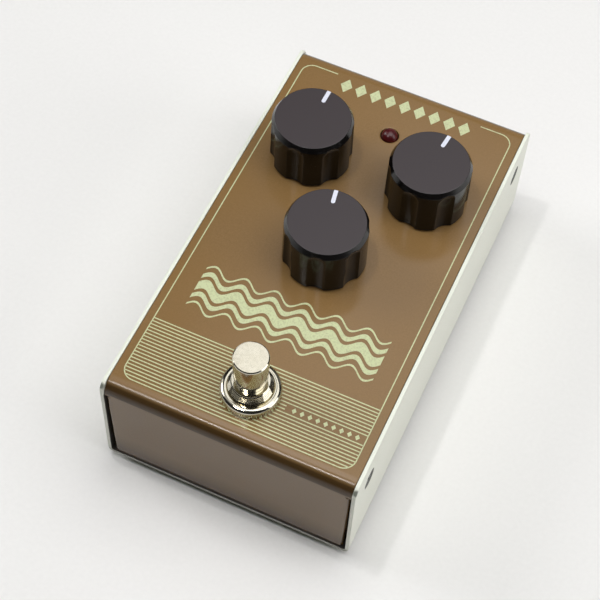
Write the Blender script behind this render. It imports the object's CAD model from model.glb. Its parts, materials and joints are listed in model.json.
import bmesh
import bpy
import json
from math import cos, pi, radians, sin, sqrt
from mathutils import Matrix, Vector


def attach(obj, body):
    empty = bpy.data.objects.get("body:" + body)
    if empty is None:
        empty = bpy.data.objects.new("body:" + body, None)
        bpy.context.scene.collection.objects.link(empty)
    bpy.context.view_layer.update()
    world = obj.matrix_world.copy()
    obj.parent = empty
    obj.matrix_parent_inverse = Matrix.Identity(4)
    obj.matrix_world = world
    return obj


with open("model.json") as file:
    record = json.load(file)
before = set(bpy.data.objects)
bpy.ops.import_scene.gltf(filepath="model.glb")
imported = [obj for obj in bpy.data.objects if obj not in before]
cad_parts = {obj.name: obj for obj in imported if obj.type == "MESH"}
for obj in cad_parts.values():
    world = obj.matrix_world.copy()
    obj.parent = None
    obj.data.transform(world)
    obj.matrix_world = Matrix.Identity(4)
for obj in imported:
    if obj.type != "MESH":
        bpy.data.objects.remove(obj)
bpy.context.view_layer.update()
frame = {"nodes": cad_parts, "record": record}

# Compact effects pedal on a pale studio floor.
# Sizes are millimetres, x and y from the centre of the base and z from the ground. place() turns
# them into the frame's metres, whose origin lies a little behind the centre of the base.
MM = 0.001
BASE_CENTRE_Y = -1.5
COVER_TOP = 38.8


def place(x, y, z):
    return Vector((x, y + BASE_CENTRE_Y, z)) * MM


# Node helpers. Colours are given as sRGB hex codes.

# The colour mix node shares the names of its sockets with its other modes, so they go by number.
MIX_LOW = 6
MIX_HIGH = 7
MIX_RESULT = 2
# Nearly all values of a noise texture lie between these two.
NOISE_SPAN = (0.3, 0.7)
BEVEL_SAMPLES = 6


def paint(hex_code):
    """sRGB hex code to linear colour."""
    parts = [int(hex_code[i:i + 2], 16) / 255 for i in (1, 3, 5)]
    linear = [c / 12.92 if c <= 0.04045 else ((c + 0.055) / 1.055) ** 2.4 for c in parts]
    return (*linear, 1.0)


def add(tree, kind, settings=None, sockets=None):
    """Adds one node, sets its options, and fills or links its inputs."""
    made = tree.nodes.new(kind)
    for name, value in (settings or {}).items():
        setattr(made, name, value)
    for name, value in (sockets or {}).items():
        if isinstance(value, bpy.types.NodeSocket):
            tree.links.new(value, made.inputs[name])
        elif isinstance(value, str):
            made.inputs[name].default_value = paint(value)
        else:
            made.inputs[name].default_value = value
    return made


def begin(name, **surface):
    """A new material with its shader, and the object's own coordinates in metres."""
    mat = bpy.data.materials.new(name)
    mat.use_nodes = True
    tree = mat.node_tree
    tree.nodes.clear()
    shader = add(tree, "ShaderNodeBsdfPrincipled", None, surface)
    out = add(tree, "ShaderNodeOutputMaterial")
    tree.links.new(shader.outputs["BSDF"], out.inputs["Surface"])
    where = add(tree, "ShaderNodeTexCoord").outputs["Object"]
    return mat, tree, shader, where


def across(size_mm):
    """Texture scale whose features are about this many millimetres across."""
    return 1.0 / (size_mm * MM)


def noise(tree, where, size_mm, detail=2.0):
    return add(tree, "ShaderNodeTexNoise", None,
               {"Vector": where, "Scale": across(size_mm), "Detail": detail}).outputs["Fac"]


def spread(tree, value, low, high, start=0.0, end=1.0):
    """Goes from low to high as the value goes from start to end, and stays there beyond."""
    return add(tree, "ShaderNodeMapRange", None,
               {"Value": value, "From Min": start, "From Max": end, "To Min": low,
                "To Max": high}).outputs["Result"]


def tone(tree, factor, low, high, start=0.0, end=1.0):
    """Colour that goes from low to high as the factor goes from start to end."""
    ramp = add(tree, "ShaderNodeValToRGB", None, {"Fac": factor})
    for stop, colour, position in zip(ramp.color_ramp.elements, (low, high), (start, end)):
        stop.color = paint(colour)
        stop.position = position
    return ramp.outputs["Color"]


def mix(tree, factor, low, high):
    """Blend of two colours, each a hex code or another node's output."""
    made = add(tree, "ShaderNodeMix", {"data_type": "RGBA"},
               {"Factor": factor, MIX_LOW: low, MIX_HIGH: high})
    return made.outputs[MIX_RESULT]


def product(tree, first, second):
    return add(tree, "ShaderNodeMath", {"operation": "MULTIPLY"},
               {0: first, 1: second}).outputs["Value"]


def vector(tree, operation, *values, result="Vector"):
    return add(tree, "ShaderNodeVectorMath", {"operation": operation},
               dict(enumerate(values))).outputs[result]


def along(tree, value, axis):
    """One part of a vector."""
    return add(tree, "ShaderNodeSeparateXYZ", None, {"Vector": value}).outputs[axis]


def facing(tree):
    """Which way the surface faces."""
    return add(tree, "ShaderNodeNewGeometry").outputs["Normal"]


def broken_edge(tree, edge_mm):
    """Which way the surface faces, with its edges broken to a real radius."""
    return add(tree, "ShaderNodeBevel", {"samples": BEVEL_SAMPLES},
               {"Radius": edge_mm * MM}).outputs["Normal"]


def coat(tree, shader, colour, rough=None):
    tree.links.new(colour, shader.inputs["Base Color"])
    if rough is not None:
        tree.links.new(rough, shader.inputs["Roughness"])


def relief(tree, shader, height, depth_mm, strength=1.0, edge_mm=0.0):
    """Bump of a real depth, on an edge broken to a real radius."""
    sockets = {"Height": height, "Distance": depth_mm * MM, "Strength": strength}
    if edge_mm:
        sockets["Normal"] = broken_edge(tree, edge_mm)
    bump = add(tree, "ShaderNodeBump", None, sockets)
    tree.links.new(bump.outputs["Normal"], shader.inputs["Normal"])


# Finishes

# Paint on folded steel: its orange peel and its mottling, in millimetres.
PEEL = 0.45
MOTTLING = 14.0
PEEL_DETAIL = 3.0

# The upward part of the normal, on a bend just before it turns level, and just before it turns
# upright.
NEARLY_LEVEL = (0.75, 0.93)
NEARLY_UPRIGHT = (0.02, 0.15)
# How much of the dark tone the cover's upright faces have at their foot and above it, and the
# heights between which it fades.
FOOT_TONE = (0.85, 0.38)
FOOT_FADE = (5.0 * MM, 14.0 * MM)


def powder_paint(name, base, shade, light, low, rough):
    """Baked satin paint on folded steel: an even colour with a faint orange peel and fine
    mottling, a soft sheen, and edges rounded by the paint. It is thin and dark where the sheet
    was stretched round the bends, and on the upright faces, most of all along their foot."""
    mat, tree, shader, where = begin(name, Roughness=rough, IOR=1.46)
    grain = noise(tree, where, PEEL, PEEL_DETAIL)
    drift = noise(tree, where, MOTTLING)
    fine = tone(tree, grain, shade, light, *NOISE_SPAN)
    toned = mix(tree, spread(tree, drift, 0.15, 0.45, *NOISE_SPAN), base, fine)
    up = along(tree, facing(tree), "Z")
    height = along(tree, where, "Z")
    bent = product(tree, spread(tree, up, 1.0, 0.0, *NEARLY_LEVEL),
                   spread(tree, up, 0.0, 1.0, *NEARLY_UPRIGHT))
    upright = product(tree, spread(tree, up, 1.0, 0.0, *NEARLY_UPRIGHT),
                      spread(tree, height, *FOOT_TONE, *FOOT_FADE))
    thin = add(tree, "ShaderNodeMath", {"operation": "MAXIMUM"}, {0: bent, 1: upright})
    coat(tree, shader, mix(tree, thin.outputs["Value"], toned, low),
         spread(tree, drift, rough - 0.04, rough + 0.04, *NOISE_SPAN))
    relief(tree, shader, grain, 0.0004, 0.8, 0.55)
    return mat


# The cut upper edges of the panels face up and lie above the first height.
CUT_EDGE_UP = (0.8, 0.97)
CUT_EDGE_ABOVE = (8.0 * MM, 12.0 * MM)
# The chip in the paint, from the frame's origin: both panels have it, at their front corner only.
CHIP_AT = Vector((35.8, 64.4, 37.7)) * MM
CHIP_RADIUS = (0.6 * MM, 1.2 * MM)
CHIP_COLOUR = "#5F665A"
DUST_BELOW = (3.4 * MM, 4.6 * MM)
DUST_COLOUR = "#77786A"
# The countersinks, from the centre of the base, the same in each quarter: they lie inwards of
# the panels' outer face.
SCREW_AT = Vector((35.5, 53.4, 29.0)) * MM
SINK_RADIUS = (3.2 * MM, 3.6 * MM)
SINK_WITHIN = (35.88 * MM, 35.97 * MM)
SINK_COLOUR = "#3E3C37"
# A face that looks inwards has its outward distance from the middle under the first value.
LOOKS_IN = (-3.0 * MM, -2.0 * MM)
PRIMER_BELOW = (34.0 * MM, 35.0 * MM)


def panel_paint(name, base, shade, light, cut, primer, rough):
    """Baked satin paint on the pale folded base: thick and bright along the cut upper edges,
    knocked off at their front corners, dusty along the lower bends and bare in the screws'
    countersinks, and only dark primer on the inner faces, which look towards the middle."""
    mat, tree, shader, where = begin(name, Roughness=rough, IOR=1.5)
    grain = noise(tree, where, PEEL, PEEL_DETAIL)
    toned = mix(tree, 0.4, base, tone(tree, grain, shade, light, *NOISE_SPAN))
    normal = facing(tree)
    height = along(tree, where, "Z")

    rim = product(tree, spread(tree, along(tree, normal, "Z"), 0.0, 1.0, *CUT_EDGE_UP),
                  spread(tree, height, 0.0, 1.0, *CUT_EDGE_ABOVE))
    edged = mix(tree, rim, toned, cut)

    from_chip = vector(tree, "DISTANCE", vector(tree, "ABSOLUTE", where), CHIP_AT,
                       result="Value")
    chipped = mix(tree, spread(tree, from_chip, 0.85, 0.0, *CHIP_RADIUS), edged, CHIP_COLOUR)
    dusty = mix(tree, spread(tree, height, 0.75, 0.0, *DUST_BELOW), chipped, DUST_COLOUR)

    centred = vector(tree, "SUBTRACT", where, place(0, 0, 0))
    quarter = vector(tree, "ABSOLUTE", centred)
    from_screw = vector(tree, "DISTANCE", quarter, SCREW_AT, result="Value")
    sink = product(tree, spread(tree, along(tree, quarter, "X"), 0.9, 0.0, *SINK_WITHIN),
                   spread(tree, from_screw, 1.0, 0.0, *SINK_RADIUS))
    bored = mix(tree, sink, dusty, SINK_COLOUR)

    from_top = vector(tree, "SUBTRACT", where, place(0, 0, COVER_TOP))
    from_middle = vector(tree, "MULTIPLY", from_top, (1.0, 0.0, 1.0))
    outward = vector(tree, "DOT_PRODUCT", from_middle, normal, result="Value")
    inside = product(tree, spread(tree, outward, 1.0, 0.0, *LOOKS_IN),
                     spread(tree, height, 1.0, 0.0, *PRIMER_BELOW))
    coat(tree, shader, mix(tree, inside, bored, primer))
    relief(tree, shader, grain, 0.002, 0.8, 0.25)
    return mat


def screen_ink(name, base, thin):
    """Screen-printed ink: opaque, a little uneven where the mesh left it thin, soft sheen."""
    mat, tree, shader, where = begin(name, Roughness=0.45, IOR=1.5)
    patch = noise(tree, where, 0.5)
    coat(tree, shader, tone(tree, patch, thin, base, 0.25, 0.55))
    relief(tree, shader, patch, 0.003, 0.6)
    return mat


# The upward part of the normal on a knob: on its top face, and on the bevel below it.
KNOB_TOP_UP = (0.97, 0.995)
KNOB_BEVEL_UP = (0.3, 0.6)
KNOB_EDGE = 0.2


def moulded_phenolic(name):
    """Phenolic moulding, polished: nearly black with a sharp gloss, faint flow marks in the
    polish. Its sides return little light, its top is dulled and browned by handling."""
    mat, tree, shader, where = begin(name, Roughness=0.16, IOR=1.6)
    flow = noise(tree, where, 3.0, 4.0)
    dust = noise(tree, where, 0.35)
    specks = mix(tree, spread(tree, dust, 0.0, 0.25, 0.66, 0.78),
                 tone(tree, flow, "#080606", "#0E0C0B"), "#6B6460")
    up = along(tree, broken_edge(tree, KNOB_EDGE), "Z")
    handled = mix(tree, spread(tree, up, 0.0, 0.85, *KNOB_TOP_UP), specks, "#382F32")
    coat(tree, shader, handled, spread(tree, up, 0.16, 0.42, *KNOB_TOP_UP))
    tree.links.new(spread(tree, up, 0.2, 0.5, *KNOB_BEVEL_UP),
                   shader.inputs["Specular IOR Level"])
    relief(tree, shader, flow, 0.02, 0.25, KNOB_EDGE)
    return mat


def enamel_line(name):
    """Paint filled into a moulded slot: white with a cool cast, slightly uneven."""
    mat, tree, shader, where = begin(name, Roughness=0.35, IOR=1.5)
    patch = noise(tree, where, 0.6)
    coat(tree, shader, tone(tree, patch, "#D3D6E6", "#ECEEF8"))
    relief(tree, shader, patch, 0.02, 0.5)
    return mat


def plated_metal(name, light, dark, rough, edge_mm=0.12, depth_mm=0.002):
    """Bright nickel or zinc plate: a mirror with fine turning marks that blur it a little."""
    mat, tree, shader, where = begin(name, Metallic=1.0, Roughness=rough)
    turned = add(tree, "ShaderNodeMapping", None, {"Vector": where, "Scale": (0.3, 0.3, 1.6)})
    lines = noise(tree, turned.outputs["Vector"], 0.25, 3.0)
    patch = noise(tree, where, 2.5)
    coat(tree, shader, tone(tree, patch, dark, light),
         spread(tree, lines, rough * 0.7, rough * 1.4, *NOISE_SPAN))
    relief(tree, shader, lines, depth_mm, 0.5, edge_mm)
    return mat


def moulded_plastic(name, base, shade, rough, grain_mm=0.3, depth_mm=0.01):
    """Injection-moulded part: one colour, spark-eroded grain, rounded edges."""
    mat, tree, shader, where = begin(name, Roughness=rough, IOR=1.5)
    grain = noise(tree, where, grain_mm)
    coat(tree, shader, tone(tree, grain, shade, base),
         spread(tree, grain, rough - 0.06, rough + 0.06, *NOISE_SPAN))
    relief(tree, shader, grain, depth_mm, 0.7, 0.15)
    return mat


def cast_lens(name):
    """Diffused red epoxy of a lamp that is off: dark inside, with a soft red glow where light
    comes back out, and a gloss that is a little blurred."""
    mat, tree, shader, where = begin(name, Roughness=0.3, IOR=1.5)
    shader.inputs["Subsurface Weight"].default_value = 0.35
    shader.inputs["Subsurface Radius"].default_value = (1.0, 0.12, 0.12)
    shader.inputs["Subsurface Scale"].default_value = 1.2 * MM
    cloud = noise(tree, where, 1.2)
    coat(tree, shader, tone(tree, cloud, "#3E0A0F", "#591017"))
    relief(tree, shader, cloud, 0.02, 0.2)
    return mat


def laminate_board(name):
    """Glass-fibre board under solder mask: green, with the weave and copper faint below."""
    mat, tree, shader, where = begin(name, Roughness=0.35, IOR=1.5)
    weave = add(tree, "ShaderNodeTexWave", {"wave_type": "BANDS", "bands_direction": "DIAGONAL"},
                {"Vector": where, "Scale": across(3.0), "Distortion": 1.5})
    tracks = add(tree, "ShaderNodeTexVoronoi", {"distance": "MANHATTAN"},
                 {"Vector": where, "Scale": across(4.0)})
    masked = spread(tree, tracks.outputs["Distance"], 0.0, 1.0, 0.2, 0.24)
    coat(tree, shader, tone(tree, masked, "#2E7A45", "#1B5230"))
    relief(tree, shader, weave.outputs["Fac"], 0.01, 0.4)
    return mat


def sheathed_cable(name):
    """PVC wire insulation: grey, matt, with the slight lumps of the strands inside."""
    mat, tree, shader, where = begin(name, Roughness=0.55, IOR=1.52)
    lumps = noise(tree, where, 0.8)
    coat(tree, shader, tone(tree, lumps, "#77777C", "#94949A"))
    relief(tree, shader, lumps, 0.02, 0.5)
    return mat


FINISHES = {
    "brown_paint": powder_paint("satin brown paint on folded steel", "#866840", "#7C6038",
                                "#907148", "#46331A", 0.2),
    "pale_paint": panel_paint("satin pale green-white paint on folded steel", "#E2E3D6",
                              "#D8DACB", "#EBECE1", "#EEF1E3", "#4A4640", 0.38),
    "ink": screen_ink("pale green screen ink", "#CCD3A6", "#B4B78C"),
    "knob_black": moulded_phenolic("polished black phenolic"),
    "pointer_white": enamel_line("white enamel line"),
    "screw_chrome": plated_metal("bright zinc-plated screw", "#CDD2D3", "#A4AAAD", 0.16),
    "zinc_steel": plated_metal("zinc-plated steel", "#B9BAB6", "#9C9D98", 0.3),
    "switch_nickel": plated_metal("bright nickel plate", "#D3CEBE", "#C4BEAC", 0.1,
                                  edge_mm=0.0, depth_mm=0.0003),
    "pot_metal": plated_metal("tin-plated steel can", "#BDBDBB", "#A3A39F", 0.35),
    "shaft_metal": plated_metal("turned aluminium shaft", "#C9C9C8", "#AEAEAC", 0.3),
    "tinned_metal": plated_metal("tinned copper", "#C9C8C2", "#AFAEA6", 0.3),
    "can_aluminium": plated_metal("drawn aluminium can", "#CFCFD2", "#B5B5B9", 0.28),
    "contact_brass": plated_metal("plated brass spring", "#D8BE7E", "#BFA05E", 0.25),
    "lamp_red": cast_lens("diffused red epoxy"),
    "foot_rubber": moulded_plastic("black foot rubber", "#242424", "#171717", 0.75,
                                   grain_mm=0.5, depth_mm=0.03),
    "black_plastic": moulded_plastic("black moulded nylon", "#202021", "#161617", 0.5),
    "wafer_brown": moulded_plastic("phenolic paper wafer", "#7A5632", "#5E4024", 0.6,
                                   grain_mm=0.6),
    "switch_plastic": moulded_plastic("blue moulded switch body", "#24488A", "#1B3768", 0.45),
    "film_red": moulded_plastic("dipped red film capacitor", "#8A2822", "#6E1B17", 0.3,
                                grain_mm=0.8),
    "trimmer_blue": moulded_plastic("blue trimmer body", "#2F66AA", "#24508A", 0.4),
    "rotor_white": moulded_plastic("white trimmer rotor", "#DEDACE", "#C9C4B6", 0.45),
    "board_green": laminate_board("green laminate board"),
    "cable_grey": sheathed_cable("grey cable sheath"),
}

for part in frame["record"]["subparts"]:
    materials = frame["nodes"][part["node"]].data.materials
    materials.clear()
    materials.append(FINISHES[part["material_slot"]])


# Printed lines and shapes: films of ink on the top of the cover, sunk a little into its face.
INK_UP = 0.04
INK_DOWN = 0.03
LINE_W = 0.31

# The outline and the stripes are printed a little left of the middle.
FRAME_SHIFT = -0.15
FRAME_X = 32.5
FRAME_REAR = 58.2
FRAME_FRONT = -58.45
FRAME_R = 3.6
FRAME_CORNER_STEPS = 12
FRAME_BREAK = 22.4
FRAME_BREAK_DEPTH = 3.0

STRIPES = 19
STRIPE_REAR = -39.25
SHORT_STRIPES = (9, 10)
SHORT_STRIPE_END = 10.0

# Rows of lozenges: name, first and last x, y, count, width and height.
LOZENGE_ROWS = (
    ("print_rear_lozenges", -18.4, 18.4, 55.2, 9, 3.6, 5.2),
    ("print_front_lozenges", 12.4, 30.0, -48.85, 9, 1.3, 1.7),
)
# Half the side of a square whose diagonal is 1.
HALF_SIDE = 0.7071 / 2

# Wavy bands from the rear to the front: y and width.
WAVE_BANDS = ((-19.4, 0.6), (-22.1, 1.5), (-25.5, 3.0), (-28.9, 1.5), (-31.6, 0.6))
WAVE_X = 27.0
WAVES = 6
WAVE_SWING = 1.4
WAVE_STEPS = 16


def new_mesh_object(bm, name, material):
    mesh = bpy.data.meshes.new(name)
    bm.to_mesh(mesh)
    bm.free()
    mesh.materials.append(material)
    made = bpy.data.objects.new(name, mesh)
    bpy.context.scene.collection.objects.link(made)
    return made


def ink_piece(bm, name):
    """Gives flat shapes at the cover's face the film's own thickness, as one piece."""
    grown = bmesh.ops.extrude_face_region(bm, geom=bm.faces[:], use_keep_orig=True)
    verts = [v for v in grown["geom"] if isinstance(v, bmesh.types.BMVert)]
    bmesh.ops.translate(bm, vec=Vector((0, 0, INK_UP + INK_DOWN)) * MM, verts=verts)
    bmesh.ops.recalc_face_normals(bm, faces=bm.faces)
    piece = new_mesh_object(bm, name, FINISHES["ink"])
    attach(piece, "housing")


def on_cover(x, y, width, height):
    """Puts a flat shape of unit size on the cover's face, in the given size."""
    return (Matrix.Translation(place(x, y, COVER_TOP - INK_DOWN))
            @ Matrix.Diagonal((width * MM, height * MM, 1, 1)))


def flat_shape(bm, matrix, half=0.5, steps=1):
    """A flat square, by half its side, cut into steps along x."""
    return bmesh.ops.create_grid(bm, x_segments=steps, y_segments=1, size=half,
                                 matrix=matrix)["verts"]


def frame_line():
    """Rounded outline round the whole top, open at the middle of the rear side."""
    bm = bmesh.new()
    width = 2 * (FRAME_X + LINE_W / 2)
    depth = FRAME_REAR - FRAME_FRONT + LINE_W
    corners = flat_shape(bm, on_cover(FRAME_SHIFT, (FRAME_REAR + FRAME_FRONT) / 2, width, depth))
    bmesh.ops.bevel(bm, geom=corners, affect="VERTICES", offset=FRAME_R * MM,
                    segments=FRAME_CORNER_STEPS, profile=0.5, material=-1)
    inner = bm.faces[:]
    bmesh.ops.inset_region(bm, faces=inner, thickness=LINE_W * MM, use_boundary=True,
                           use_even_offset=True)
    bmesh.ops.delete(bm, geom=inner, context="FACES")
    for x in (-FRAME_BREAK, FRAME_BREAK):
        bmesh.ops.bisect_plane(bm, geom=bm.verts[:] + bm.edges[:] + bm.faces[:],
                               plane_co=place(x, 0, 0), plane_no=(1, 0, 0))
    rear = place(0, FRAME_REAR - FRAME_BREAK_DEPTH, 0).y
    gap = [f for f in bm.faces if abs(f.calc_center_median().x) < FRAME_BREAK * MM
           and f.calc_center_median().y > rear]
    bmesh.ops.delete(bm, geom=gap, context="FACES")
    ink_piece(bm, "print_outline")


def frame_half_width(y):
    """Half the width inside the outline at y: it narrows in the rounded front corners."""
    into = max(0.0, FRAME_FRONT + FRAME_R - y)
    return FRAME_X - FRAME_R + sqrt(max(0.0, FRAME_R ** 2 - into ** 2))


def pinstripes():
    """Lines across the front of the top, from the rear; two of them stop short on the right."""
    bm = bmesh.new()
    pitch = (STRIPE_REAR - FRAME_FRONT) / STRIPES
    for i in range(STRIPES):
        y = STRIPE_REAR - i * pitch
        side = frame_half_width(y - LINE_W / 2)
        left = -side + FRAME_SHIFT
        right = SHORT_STRIPE_END if i in SHORT_STRIPES else side + FRAME_SHIFT
        flat_shape(bm, on_cover((left + right) / 2, y, right - left, LINE_W))
    ink_piece(bm, "print_stripes")


def lozenge_row(name, x0, x1, y, count, width, height):
    """A row of plain upright lozenges."""
    bm = bmesh.new()
    for i in range(count):
        x = x0 + (x1 - x0) * i / (count - 1)
        turn = on_cover(x, y, width, height) @ Matrix.Rotation(radians(45), 4, "Z")
        flat_shape(bm, turn, HALF_SIDE)
    ink_piece(bm, name)


def wave(name, y, width):
    """One wavy band across the top."""
    bm = bmesh.new()
    for v in flat_shape(bm, on_cover(0, y, 2 * WAVE_X, width), steps=WAVE_STEPS * WAVES):
        v.co.y += WAVE_SWING * MM * sin(2 * pi * WAVES * v.co.x / (2 * WAVE_X * MM))
    ink_piece(bm, name)


frame_line()
pinstripes()
for row in LOZENGE_ROWS:
    lozenge_row(*row)
for number, (band_y, band_width) in enumerate(WAVE_BANDS):
    wave("print_wave_%d" % number, band_y, band_width)


# Studio, in metres and watts
FLOOR_SIZE = 4
MIDDLE = (0, 0, 0.03)
AIR_GLOW = 0.03

# Soft ceiling and wall lights: name, place, aim, width, depth and power.
LAMPS = (
    ("ceiling middle", (0, 0, 1.1), (0, 0, 0), 0.6, 0.6, 3.33),
    ("ceiling rear", (0, 0.6, 1.1), (0, 0.6, 0), 0.6, 0.6, 1.65),
    ("ceiling right", (0.6, 0, 1.1), (0.6, 0, 0), 0.6, 0.6, 3.55),
    ("ceiling right rear", (0.6, 0.6, 1.1), (0.6, 0.6, 0), 0.6, 0.6, 1.89),
    ("ceiling left", (-0.6, 0, 1.1), (-0.6, 0, 0), 0.6, 0.6, 0.53),
    ("far left", (-1.3, 0, 0.9), MIDDLE, 0.6, 0.6, 5.7),
    ("left wall", (-0.9, 0, 0.5), MIDDLE, 0.6, 0.6, 1.19),
    ("right wall", (0.9, 0.1, 0.45), MIDDLE, 0.6, 0.6, 2.86),
    ("rear wall", (0, 1.4, 0.45), (0, 0, 0.45), 1.8, 0.8, 0.86),
)


def studio_paper(name):
    """White studio paper with the faintest tooth, matt."""
    mat, tree, shader, where = begin(name, Roughness=0.7, IOR=1.45)
    coat(tree, shader, tone(tree, noise(tree, where, 1.2, 3.0), "#EDECEA", "#F4F3F1"))
    return mat


def studio():
    bm = bmesh.new()
    flat_shape(bm, Matrix.Diagonal((FLOOR_SIZE, FLOOR_SIZE, 1, 1)))
    floor = new_mesh_object(bm, "floor", studio_paper("white studio paper"))


def softbox(name, at, aim, width, depth, watts):
    lamp = bpy.data.lights.new(name, "AREA")
    lamp.shape = "RECTANGLE"
    lamp.size = width
    lamp.size_y = depth
    lamp.energy = watts
    thing = bpy.data.objects.new(name, lamp)
    thing.location = at
    thing.rotation_euler = (Vector(aim) - Vector(at)).to_track_quat("-Z", "Y").to_euler()
    bpy.context.scene.collection.objects.link(thing)
    return thing


def lights():
    """A strip lamp up in front that shows only as a line of gloss along the bends, a small key
    lamp overhead that only casts the shadow's edge, the soft lights and the glow of the room."""
    strip = softbox("strip lamp", (-0.22, -0.54, 0.95), (-0.22, 0, 0.03), 0.42, 0.03, 2.6)
    strip.visible_diffuse = False
    key = softbox("key lamp", (-0.095, -0.035, 0.55), MIDDLE, 0.022, 0.022, 0.36)
    key.visible_glossy = False
    for lamp in LAMPS:
        softbox(*lamp)
    world = bpy.data.worlds.new("studio air")
    world.use_nodes = True
    back = world.node_tree.nodes["Background"]
    back.inputs["Color"].default_value = paint("#FFFFFF")
    back.inputs["Strength"].default_value = AIR_GLOW
    bpy.context.scene.world = world


# The camera stands in front, to the right and well above, leaning a little. Angles are radians.
# Its place is measured along its own axes from a point just above the centre of the base.
CAMERA_TURN = 0.378455
CAMERA_TILT = 1.009545
CAMERA_LEAN = 0.057348
CAMERA_BACK = 460.271
CAMERA_ACROSS = -6.3346
CAMERA_UP = 6.0584
CAMERA_FROM_Z = 2.0
SENSOR_WIDTH = 36
LENS_OVER_WIDTH = 1578.2065 / 600
CLIP_START = 0.01


def camera():
    back = Vector((sin(CAMERA_TURN) * cos(CAMERA_TILT), -cos(CAMERA_TURN) * cos(CAMERA_TILT),
                   sin(CAMERA_TILT)))
    level = (-back).cross(Vector((0, 0, 1))).normalized()
    rise = level.cross(-back)
    right = cos(CAMERA_LEAN) * level + sin(CAMERA_LEAN) * rise
    up = -sin(CAMERA_LEAN) * level + cos(CAMERA_LEAN) * rise
    eye = back * CAMERA_BACK + right * CAMERA_ACROSS + up * CAMERA_UP
    eye = place(eye.x, eye.y, eye.z + CAMERA_FROM_Z)
    view = bpy.data.cameras.new("camera")
    view.sensor_width = SENSOR_WIDTH
    view.lens = SENSOR_WIDTH * LENS_OVER_WIDTH
    view.clip_start = CLIP_START
    thing = bpy.data.objects.new("camera", view)
    turn = Matrix((right, up, back)).transposed().to_4x4()
    thing.matrix_world = Matrix.Translation(eye) @ turn
    bpy.context.scene.collection.objects.link(thing)
    bpy.context.scene.camera = thing


studio()
lights()
camera()
bpy.context.scene.view_settings.view_transform = "Standard"
